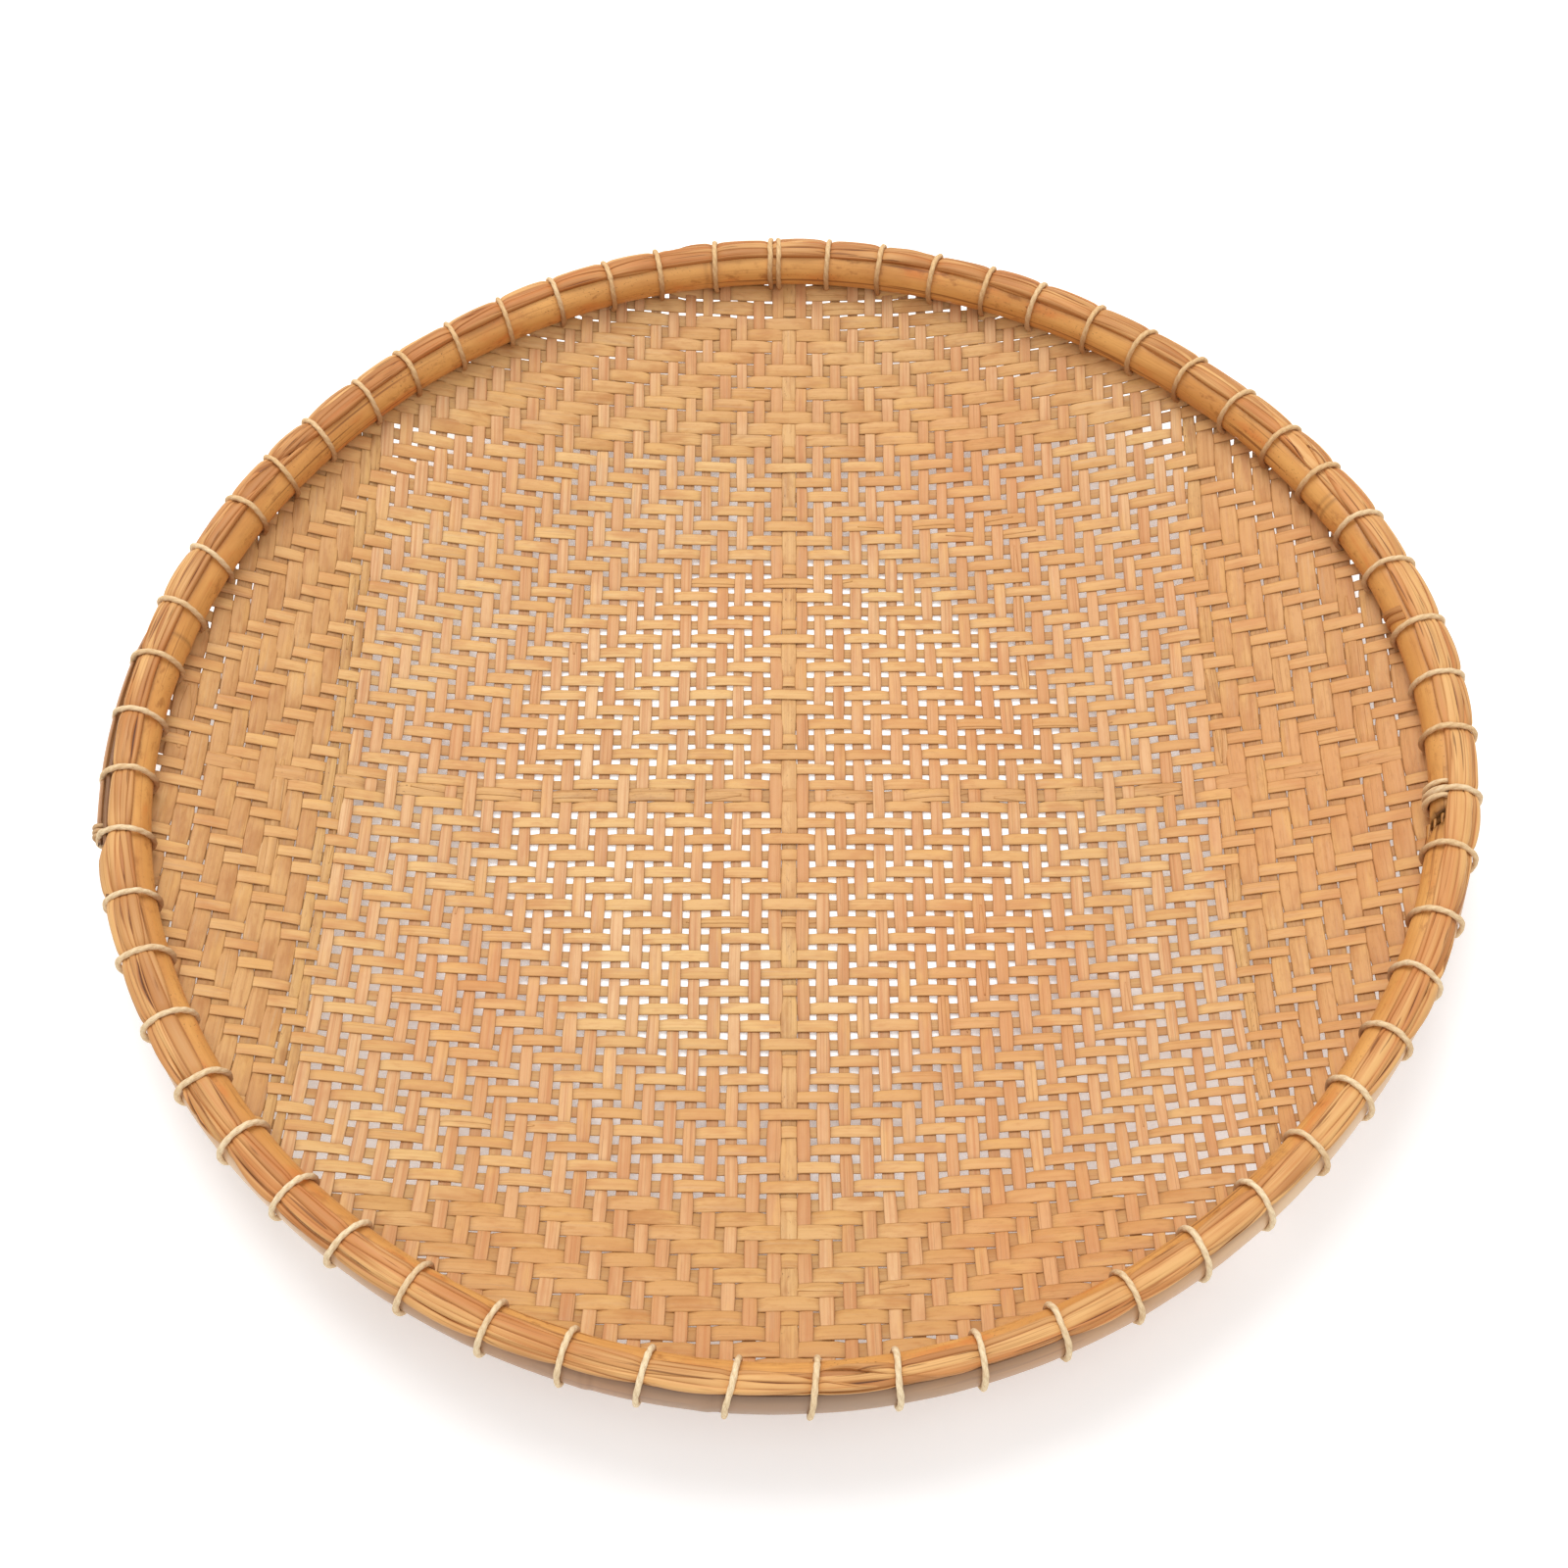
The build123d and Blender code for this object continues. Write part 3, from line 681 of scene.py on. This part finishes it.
def hoop(gathered, shape, start, sweep, nodes, seed, slant, outward=None):
    """A split bamboo pole bent into an open ring: a crowned skin with a flat back."""
    centre_n, centre_u, radius = bow(**shape)
    count = 1000
    a = radians(start) + np.linspace(0, radians(sweep), count)
    half = np.arcsin(min(1.0, (shape["high"] - shape["low"]) / 2 / radius))
    face = np.linspace(-half, half, 24)
    turn = -1.0 if shape["thick"] < 0 else 1.0
    dist = a * FOOT_RADIUS
    swell = 1 + wobble(seed, dist, 0.02, 190.0) + 0.03 * bump_at(a, nodes, 0.02)
    swell = swell + 0.018 * bump_at(a, nodes, 0.004)
    swell = swell - 0.03 * bump_at(a, [w + 0.013 for w in nodes], 0.006)
    ends = np.clip(np.minimum(a - a[0], a[-1] - a) / radians(2.5), 0, 1)
    swell = swell * (0.84 + 0.16 * ends**0.5)
    fine = wobble(seed + 3, dist, 0.10, 33.0)
    n = centre_n + turn * radius * np.cos(face)[None, :] * swell[:, None]
    u = centre_u + radius * np.sin(face)[None, :] * swell[:, None] * 0.99
    n = n + turn * fine[:, None] * np.cos(face)[None, :]
    n = n + turn * (1 - swell)[:, None] * 1.5
    back = np.linspace(face[-1], face[0], 6)[1:-1]
    flat = shape["flat"] + turn * 0.9 * np.cos(back / half * pi / 2)
    bn = np.broadcast_to(flat[None, :], (count, len(back)))
    bu = centre_u + radius * np.sin(back)[None, :] * 0.92 + 0 * bn
    n, u = np.concatenate([n, bn], 1), np.concatenate([u, bu], 1)
    stick = np.zeros(count) if outward is None else outward(a)
    n = shape["flat"] + (n - shape["flat"]) * (1 - 0.55 * stick)[:, None] + 6.2 * turn * stick[:, None]
    u = centre_u + (u - centre_u) * (1 - 0.66 * stick)[:, None] + 5.0 * stick[:, None]
    m = n.shape[1]
    v = np.concatenate([face, back]) / half
    jag = np.random.default_rng(seed + 7).uniform(-0.35, 0.35, (2, m))
    from_start = (1 - smooth((a - a[0]) / radians(3.5)))[:, None]
    from_end = (1 - smooth((a[-1] - a) / radians(3.5)))[:, None]
    shift = -from_start * (slant * (0.5 - 0.5 * v) + jag[0])[None, :]
    shift = shift + from_end * (slant * (0.5 + 0.5 * v) + jag[1])[None, :]
    grid = rim(a[:, None] + np.radians(shift), n, u)
    if turn < 0:
        grid = grid[:, ::-1]
    around = np.concatenate([face, back]) * radius
    around = around[::-1] if turn < 0 else around
    lateral = np.broadcast_to(around[None, :], (count, m))
    ring = bump_at(a, nodes, 0.0022) + 0.6 * bump_at(a, [w + 0.011 for w in nodes], 0.0018)
    crease = np.clip(1.2 * (np.abs(lateral) / radius / half - 0.72) / 0.28, 0, 1)
    dark = np.clip(1 - ends, 0, 1) ** 4 * 0.5

    def by_angle(where, width):
        return np.broadcast_to(bump_at(a, [radians(where)], radians(width))[:, None], (count, m)).copy()

    values = {
        "grain": np.stack([np.broadcast_to(dist[:, None], (count, m)) * MM, lateral * MM,
                           np.full((count, m), seed * 1.0)], -1),
        # painted shade: grey over the front of the outer hoop
        "painted_shade": by_angle(266, 34),
        # paler skin and painted light at the front right and front left
        "pale_skin_and_painted_light": np.clip(1.2 * by_angle(322, 26) + by_angle(222, 14), 0, 1),
        "node": np.clip(np.broadcast_to(ring[:, None], (count, m)), 0, 1).copy(),
        "shade": np.clip(crease * 0.35 + dark[:, None], 0, 1),
    }
    gathered.tube(grid, values)


STICK_FROM, STICK_TO = 164, 191.5               # degrees


def free_end(a, run_out=0.0):
    """1 where the outer hoop's last end is shaved to a stick that stands away from the rim."""
    at = np.degrees(a) % 360
    return smooth((at - STICK_FROM) / 10) * (1 - smooth((at - STICK_TO) / (1e-6 + 2.5 * run_out)))


inner_nodes = [radians(26 + 72 * k) for k in range(5)]
outer_nodes = [radians(d) for d in (255, 264, 329, 40, 112, 188.6)]

gathered = Gather()
hoop(gathered, INNER, -7.6, 356.4, inner_nodes, 41, 2.2)
g = np.random.default_rng(77)
for k in range(9):
    fraction = k / 8
    sliver(gathered, -9.4 + 1.0 * fraction, -g.uniform(6, 13), -g.uniform(3, 9), 3 + 17 * fraction,
           g.uniform(1.4, 3.0), 0.9, g.uniform(-1, 1), 0.25, 500 + k)
    sliver(gathered, -11.6 - 0.6 * fraction, g.uniform(6, 14), -g.uniform(3, 8), 20 - 17 * fraction,
           g.uniform(1.4, 2.8), 0.9, g.uniform(-1, 1), 0.25, 540 + k)
sliver(gathered, -7.0, -40.0, -2.6, 11.5, 21.0, 1.2, 0.0, 0.9, 590)
add_piece(gathered, "inner_hoop_bamboo", INNER_SKIN, "inner_hoop")

gathered = Gather()
hoop(gathered, OUTER, 192.5, 358.0, outer_nodes, 43, 0.6, outward=free_end)
sliver(gathered, 197.0, -190.0, 3.4, 12.0, 21.0, 2.6, 0.0, 0.7, 610)
add_piece(gathered, "outer_hoop_bamboo", OUTER_SKIN, "outer_hoop")


def pinch(a):
    """1 under a tie, 0 between ties."""
    return bump_at(a, TIE_ANGLES, 0.0085)


OVERLAP = 34.0                                  # how far one length of cane runs over the next, mm
CAP_RADIUS = 297.0
CAP_LIFT = 2.2                                  # the middle of the cane above a hoop's crown
POINTED = 60.0                                  # how long the pointed end of a length is
LANE = 7                                        # points across a slat between two splits


def cap_layer(gathered, centre, first, last, start, sweep, seed, spacings, body, tapering, outer):
    """A length of cane bent over the hoops, split along its grain into slats."""
    centre_n, centre_u, radius = centre
    g = np.random.default_rng(seed)
    length = radians(sweep) * CAP_RADIUS + (OVERLAP if tapering else 0)
    s = np.linspace(0, length, int(length))
    a = radians(start) + s / CAP_RADIUS
    tied = pinch(a)
    mm_per_deg = radians(1) * (radius + CAP_LIFT)
    q = in_ties(a)
    stretch = np.floor(q).astype(int)
    hump = np.sin(pi * (q - stretch))
    knots = np.arange(q.min() // 1, q.max() // 1 + 3)

    def between(low_value, high_value, sharp=1.0):
        """A value drawn for each stretch between two ties, 0 at the ties."""
        drawn = g.uniform(low_value, high_value, len(knots))
        return drawn[stretch - int(knots[0])] * hump**sharp

    def tie_to_tie(size):
        """A drift that changes at every tie."""
        return np.interp(q, knots, g.uniform(-size, size, len(knots)))

    low = first * mm_per_deg + wobble(seed + 1, s, 0.9, 170.0) - between(-0.2, 0.8)
    high = last * mm_per_deg + wobble(seed + 2, s, 0.9, 150.0) + between(-0.2, 0.8)
    if outer:                                       # further in beside the free stick and at the front
        high = high - 4.0 * free_end(a, 0.8)
        high = high - 5.4 * bump_at(a, [radians(273)], radians(27))
        high = high - 2.4 * bump_at(a, [radians(312)], radians(18))
        high = np.maximum(high, low + 1.0)
    span = high - low
    if tapering:
        low = low + span * (1 - smooth((length - s) / POINTED)) * 0.97
        high = high - span * (1 - smooth(s / POINTED)) * 0.97
    # splits: lines that slant from tie to tie, gather under the ties and gape between them
    centre_line = (first + last) / 2 * mm_per_deg
    bases, at = [], first * mm_per_deg + g.uniform(1.2, 3.0)
    while at < last * mm_per_deg - 1.2:
        bases.append(at)
        at += g.choice(spacings) * g.uniform(0.8, 1.2)
    lines, widths = [], []
    for k, base in enumerate(bases):
        gathered_in = centre_line + (base - centre_line) * (1 - 0.09 * tied)
        line = gathered_in + tie_to_tie(1.3) + wobble(seed + 20 + k, s, 0.15, 60.0)
        wide_open = g.choice([0.02, 0.08, 0.3, 0.8], len(knots), p=[0.52, 0.31, 0.12, 0.05])
        gape = 0.05 + wide_open[stretch - int(knots[0])] * hump**1.5
        lines.append(line)
        widths.append(np.clip(gape, 0.05, 0.95))
    for k in range(len(lines)):
        floor_line = (lines[k - 1] + widths[k - 1] if k else low) + 0.25
        roof_line = np.maximum(high - 0.2, low + 0.1)
        lines[k] = np.minimum(np.maximum(lines[k], floor_line + widths[k]), roof_line)
    cols, high_at, dark, tone = [], [], [], []
    borders = [(low, 0 * s)] + list(zip(lines, widths)) + [(high, 0 * s)]
    for k in range(len(borders) - 1):
        left = borders[k][0] + borders[k][1]
        right = np.maximum(borders[k + 1][0] - borders[k + 1][1], left + 0.02)
        lift = g.uniform(-0.3, 0.35) + wobble(seed + 90 + k, s, 0.2, 70.0)
        shade = g.uniform(0, 1) + wobble(seed + 120 + k, s, 0.3, 80.0) + 0.32 * np.cos(a)
        for t in np.linspace(0, 1, LANE):
            cols.append(left + (right - left) * t)
            crown = 1 - (2 * t - 1) ** 4
            thin = np.clip((right - left) / 3.0, 0.15, 1)
            high_at.append(lift + 0.3 * crown * thin - 0.25)
            # painted shade at a slat's very edges
            dark.append(np.where(abs(2 * t - 1) > 0.99, 0.3, 0.0) + 0 * s)
            tone.append(np.clip(shade, 0, 1))
        if k < len(borders) - 2:
            w = borders[k + 1][1]
            cols.append(borders[k + 1][0])
            high_at.append(-np.clip(0.25 + 1.9 * w, 0.3, 1.7))
            # painted shade down in the split, deeper where it gapes
            dark.append(np.clip(0.45 + w * 1.6, 0, 1))
            tone.append(np.clip(shade, 0, 1))
    swell = (between(0.0, 1.1, 0.8) if tapering else 0 * s)[:, None]
    V = np.stack(cols, 1)
    H = np.stack(high_at, 1)
    T = np.stack(tone, 1)
    S = np.broadcast_to(s[:, None], V.shape)
    edge = np.clip(np.minimum(V - low[:, None], high[:, None] - V) / 1.1, 0, 1)
    ends = smooth(np.minimum(s, length - s) / 14.0)[:, None] if tapering else 1.0
    D = np.stack(dark, 1) * ends
    # this end lies on the last one
    over = 0.7 * ends * smooth(1 - s / OVERLAP)[:, None] if tapering else 0.0
    thick = body * (0.3 + 0.7 * np.sqrt(edge)) * (0.05 + 0.95 * ends) + over
    thick = thick + H * np.minimum(edge + 0.3, 1) * ends
    thick = thick - 0.75 * tied[:, None] + 0.22 * (1 - tied[:, None])
    thick = np.maximum(thick + wobble(seed + 3, s, 0.25, 70.0)[:, None] + swell, 0.3)
    near = radius + 0.15
    A = np.broadcast_to(a[:, None], V.shape)
    F = V / (radius + CAP_LIFT)
    top = rim(A, centre_n + (near + thick) * np.sin(F), centre_u + (near + thick) * np.cos(F))
    pick = np.linspace(V.shape[1] - 1, 0, 6).astype(int)
    deep = near - 0.1
    under = rim(A[:, pick], centre_n + deep * np.sin(F[:, pick]), centre_u + deep * np.cos(F[:, pick]))
    grid = np.concatenate([top, under], 1)[:, ::-1]

    def both(q):
        return np.concatenate([q, q[:, pick]], 1)[:, ::-1]

    values = {
        "grain": np.stack([both(S) * MM, both(V) * MM, np.full_like(both(S), seed * 3.1)], -1),
        "tone": both(T),
        "split_shade": both(np.clip(D, 0, 1)),
    }
    gathered.tube(grid, values)


def at_a_tie(angle):
    """The tie nearest to this angle, in degrees: lengths of cane end under a tie."""
    return angle + min(((np.degrees(t) - angle + 180) % 360 - 180 for t in TIE_ANGLES), key=abs)


# how wide the slats of a length may be, mm
COARSE = [5.0, 7.0, 9.0]
FINE = [2.6, 3.4, 4.6]
for k in range(3):
    for row, centre, first_a, last_a, start, spacings in (
            ("inner", (IN_N, IN_U, IN_R), -47, -1, 150, (FINE, COARSE, FINE)[k]),
            ("outer", (OUT_N, OUT_U, OUT_R), -1, 30, 95, (COARSE, COARSE, FINE)[k])):
        node = f"cap_strip_{row}_{k + 1}"
        seed = 300 + 10 * k + (5 if row == "inner" else 0)
        gathered = Gather()
        turn = at_a_tie(start + 120 * k)
        sweep = at_a_tie(start + 120 * (k + 1)) - turn
        outer = row == "outer"
        cap_layer(gathered, centre, first_a + 2, last_a - 2, turn, sweep, seed + 2000, COARSE, 1.2,
                  False, outer)
        cap_layer(gathered, centre, first_a, last_a, turn, sweep - 0.4, seed, spacings, 2.1, True, outer)
        add_piece(gathered, "cane_" + node, CAP, node)


# ------------------------------------------------------------------ cords
def smooth_ring(points, count):
    """A closed Catmull-Rom curve through points, evenly spaced."""
    p = np.asarray(points, float)
    fine = []
    n = len(p)
    for k in range(n):
        a, b, c, d = p[k - 1], p[k], p[(k + 1) % n], p[(k + 2) % n]
        t = np.linspace(0, 1, 24, endpoint=False)[:, None]
        square, cube = 2 * a - 5 * b + 4 * c - d, 3 * b - a - 3 * c + d
        fine.append(0.5 * ((2 * b) + (c - a) * t + square * t**2 + cube * t**3))
    fine = np.concatenate(fine)
    step = np.linalg.norm(np.roll(fine, -1, 0) - fine, axis=1)
    total = step.sum()
    at = np.concatenate([[0], np.cumsum(step)])
    want = np.linspace(0, total, count, endpoint=False)
    closed = np.concatenate([fine, fine[:1]])
    return np.stack([np.interp(want, at, closed[:, k]) for k in range(3)], -1), total


def around_section():
    """Points (n, u) of a cord's middle, once round both hoops and the cap."""
    over_cap = 2.75
    on_hoop = 1.15
    ring = [(IN_N, IN_U, IN_R + over_cap, -50), (IN_N, IN_U, IN_R + over_cap, -20),
            (OUT_N, OUT_U, OUT_R + over_cap, 12), (OUT_N, OUT_U, OUT_R + over_cap - 0.2, 32),
            (OUT_N, OUT_U, OUT_R + on_hoop + 0.3, 60), (OUT_N, OUT_U, OUT_R + on_hoop, 92),
            (OUT_N, OUT_U, OUT_R + on_hoop, 130)]
    pts = [(n + r * sin(radians(d)), u + r * cos(radians(d))) for n, u, r, d in ring]
    pts += [(1.2, -1.1), (-2.6, -1.5)]
    ring = [(IN_N, IN_U, IN_R + on_hoop, -130), (IN_N, IN_U, IN_R + on_hoop, -90)]
    return pts + [(n + r * sin(radians(d)), u + r * cos(radians(d))) for n, u, r, d in ring]


LAY = 10.0                                      # length of one turn of the twist, mm


def twisted(gather, centre, total, radius, closed, seed, stain_and_shade=None, tone=0.4):
    """A cord of two plies around a line: lobes that wind along it."""
    n = len(centre)
    if closed:
        run = np.roll(centre, -1, 0) - np.roll(centre, 1, 0)
    else:
        run = np.gradient(centre, axis=0)
    run /= np.linalg.norm(run, axis=1, keepdims=True)
    ref = np.array([0.0, 0.0, 1.0]) if abs(run[:, 2]).mean() < 0.8 else np.array([1.0, 0.0, 0.0])
    side_way = np.cross(run[0], ref)
    sides = []
    for k in range(n):
        side_way = side_way - run[k] * (side_way @ run[k])
        side_way /= np.linalg.norm(side_way)
        sides.append(side_way.copy())
    sides = np.array(sides)
    ups = np.cross(sides, run)
    around = np.linspace(0, 2 * pi, 18, endpoint=False)
    s = np.linspace(0, total, n, endpoint=not closed)
    turns = round(total / LAY) if closed else total / LAY
    phase = s / total * turns * 2 * pi
    lobes = np.abs(np.cos(around[None, :] - phase[:, None]))
    g = np.random.default_rng(seed)
    fat = 1 + 0.06 * np.sin(s / 9 + g.uniform(0, 6))[:, None]
    fat = fat + 0.04 * np.sin(s / 2.1 + g.uniform(0, 6))[:, None]
    r = radius * (0.88 + 0.14 * lobes) * fat
    grid = centre[:, None, :] + sides[:, None, :] * (r * np.cos(around))[..., None]
    grid = grid + ups[:, None, :] * (r * np.sin(around))[..., None]
    values = {
        "grain": np.stack([np.broadcast_to(s[:, None], r.shape) * MM,
                           np.broadcast_to(around[None, :], r.shape) * radius * MM,
                           np.full(r.shape, seed % 101 * 0.7)], -1),
        "groove_shade": (1 - lobes) ** 3,
        "tone": np.full(r.shape, tone),
        "stain_and_shade": np.broadcast_to((np.zeros(n) if stain_and_shade is None else stain_and_shade)[:, None], r.shape).copy(),
    }
    gather.tube(grid[:, ::-1], {k: v[:, ::-1] for k, v in values.items()}, closed_along=closed)


def tie(gather, angle, seed, slant):
    """One turn of cord round the whole rim, stained and in painted shade on its inner side."""
    g = np.random.default_rng(seed)
    points = []
    round_stick = 2.6 * float(free_end(np.array(radians(angle)), 1.0))
    for n, u in around_section():
        n += round_stick * float(smooth((n - 8.0) / 2.0))
        radius = FOOT_RADIUS + u * sin(LEAN) + n * cos(LEAN)
        height = FOOT_HEIGHT + u * cos(LEAN) - n * sin(LEAN)
        points.append((radius, -slant * n / 20 + g.uniform(-0.25, 0.25), height))
    line, total = smooth_ring(points, 96)
    # stain and painted shade where the cord runs down inside the rim, near the mat
    inside = smooth((FOOT_RADIUS + 2.0 - line[:, 0]) / 7.0)
    inside = inside * smooth((FOOT_HEIGHT + 20.0 - line[:, 2]) / 12.0)
    inside = np.maximum(inside, 0.7 * smooth((FOOT_HEIGHT + 5.0 - line[:, 2]) / 8.0))
    a = radians(angle)
    turn = np.array([[cos(a), -sin(a), 0], [sin(a), cos(a), 0], [0, 0, 1]])
    tone = float(np.clip(0.4 - 0.4 * sin(a) + g.uniform(-0.3, 0.3), 0, 1))
    stain_and_shade = inside * g.uniform(0.5, 1.0)
    twisted(gather, line @ turn.T, total, CORD, True, seed, stain_and_shade, tone)


for q, name in enumerate(("lashings_far", "lashings_right", "lashings_near", "lashings_left")):
    gather = Gather()
    for k in range(q * TIES // 4, (q + 1) * TIES // 4):
        tie(gather, tie_angle(k) + jitters[k], 1000 + k, slants[k])
    if name == "lashings_left":                     # turns of the cord round the free stick
        for k, at in enumerate((189.5, 189.95, 190.4)):
            d = np.radians(np.linspace(0, 360, 72, endpoint=False))
            line = rim(0 * d + radians(at), 8.7 + 2.6 * np.cos(d), 15.5 + 3.8 * np.sin(d))
            twisted(gather, line, 22.0, 1.1, True, 3100 + k, 0 * d + 0.5)
    add_piece(gather, "cord_" + name, CORD_SKIN, name)

gather = Gather()
tie(gather, tie_angle(5) + jitters[5] - 0.8, 2001, slants[5] - 1.0)
add_piece(gather, "cord_lashing_start", CORD_SKIN, "lashing_start")

gather = Gather()
for k, angle in enumerate((-5.9, -6.6, -7.3)):
    d = np.radians(np.linspace(-165, -34, 70))
    rad = IN_R + 1.35 - 1.6 * smooth((np.degrees(d) + 62) / 24)
    line = rim(0 * d + radians(angle), IN_N + rad * np.sin(d), IN_U + rad * np.cos(d))
    twisted(gather, line, 21.0, 1.25, False, 3000 + k)
add_piece(gather, "cord_hoop_end_wrap", CORD_SKIN, "hoop_end_wrap")

# band of cane round the inner hoop
gather = Gather()
for k, (angle, wide) in enumerate(((12.2, 3.4), (13.0, 3.2))):
    d = np.radians(np.linspace(-160, -60, 40))
    v = np.array([-1, -0.8, 0, 0.8, 1, 1, 0, -1])
    h = np.array([0.3, 0.9, 1.05, 0.9, 0.3, -0.1, -0.1, -0.1])
    rad = IN_R + 0.15 + h[None, :] * 0.8
    a = radians(angle) + v[None, :] * wide / 2 / 282.0 + 0.006 * np.sin(d * 2)[:, None]
    grid = rim(a + 0 * rad, IN_N + rad * np.sin(d)[:, None], IN_U + rad * np.cos(d)[:, None])
    s = np.broadcast_to((d * 12)[:, None], grid.shape[:2])
    across = np.broadcast_to(v[None, :] * wide / 2, s.shape)
    gather.tube(grid, {
        "grain": np.stack([s * MM, across * MM, np.full(s.shape, 5.0 + k)], -1),
        "tone": np.full(s.shape, 0.2),
        "split_shade": np.zeros(s.shape),
    })
add_piece(gather, "cane_band_strips", CAP, "cane_band")

# ------------------------------------------------------------------ stage
floor_mat = Nodes("floor")
floor_mat.skin.inputs["Base Color"].default_value = (0.93, 0.93, 0.93, 1)
floor_mat.skin.inputs["Roughness"].default_value = 0.9
floor_mat.skin.inputs["Emission Color"].default_value = (1, 1, 1, 1)
floor_mat.skin.inputs["Emission Strength"].default_value = 0.22
bpy.ops.mesh.primitive_plane_add(size=12, location=(0, 0, -0.0003))
floor = bpy.context.object
floor.name = "floor"
floor.data.materials.append(floor_mat.mat)

world = bpy.data.worlds.new("studio")
bpy.context.scene.world = world
world.use_nodes = True
world.node_tree.nodes["Background"].inputs[0].default_value = (1, 1, 1, 1)
world.node_tree.nodes["Background"].inputs[1].default_value = 0.68


def lamp(name, place, aim, size, power):
    data = bpy.data.lights.new(name, "AREA")
    data.shape = "DISK"
    data.size = size
    data.energy = power
    ob = bpy.data.objects.new(name, data)
    ob.location = place
    ob.rotation_euler = (Vector(aim) - Vector(place)).to_track_quat("-Z", "Y").to_euler()
    bpy.context.scene.collection.objects.link(ob)


lamp("key", (-0.3, 0.9, 2.0), (0, 0, 0), 1.6, 33)
lamp("fill", (0.4, -1.1, 2.1), (0, 0, 0), 2.0, 11)

camera_data = bpy.data.cameras.new("camera")
camera = bpy.data.objects.new("camera", camera_data)
bpy.context.scene.collection.objects.link(camera)
bpy.context.scene.camera = camera
# the angle, the lens and the shift were fitted to the photo
ELEVATION, DISTANCE = radians(59.5), 1.0        # metres
SENSOR, LENS = 36, 48.555                       # millimetres
SHIFT_X, SHIFT_Y = -0.003125, 0.008125          # of the picture's width
camera.location = (0, -DISTANCE * cos(ELEVATION), DISTANCE * sin(ELEVATION))
camera.rotation_euler = (pi / 2 - ELEVATION, 0, 0)
camera_data.sensor_width = SENSOR
camera_data.lens = LENS
camera_data.shift_x = SHIFT_X
camera_data.shift_y = SHIFT_Y
bpy.context.scene.view_settings.view_transform = "Standard"
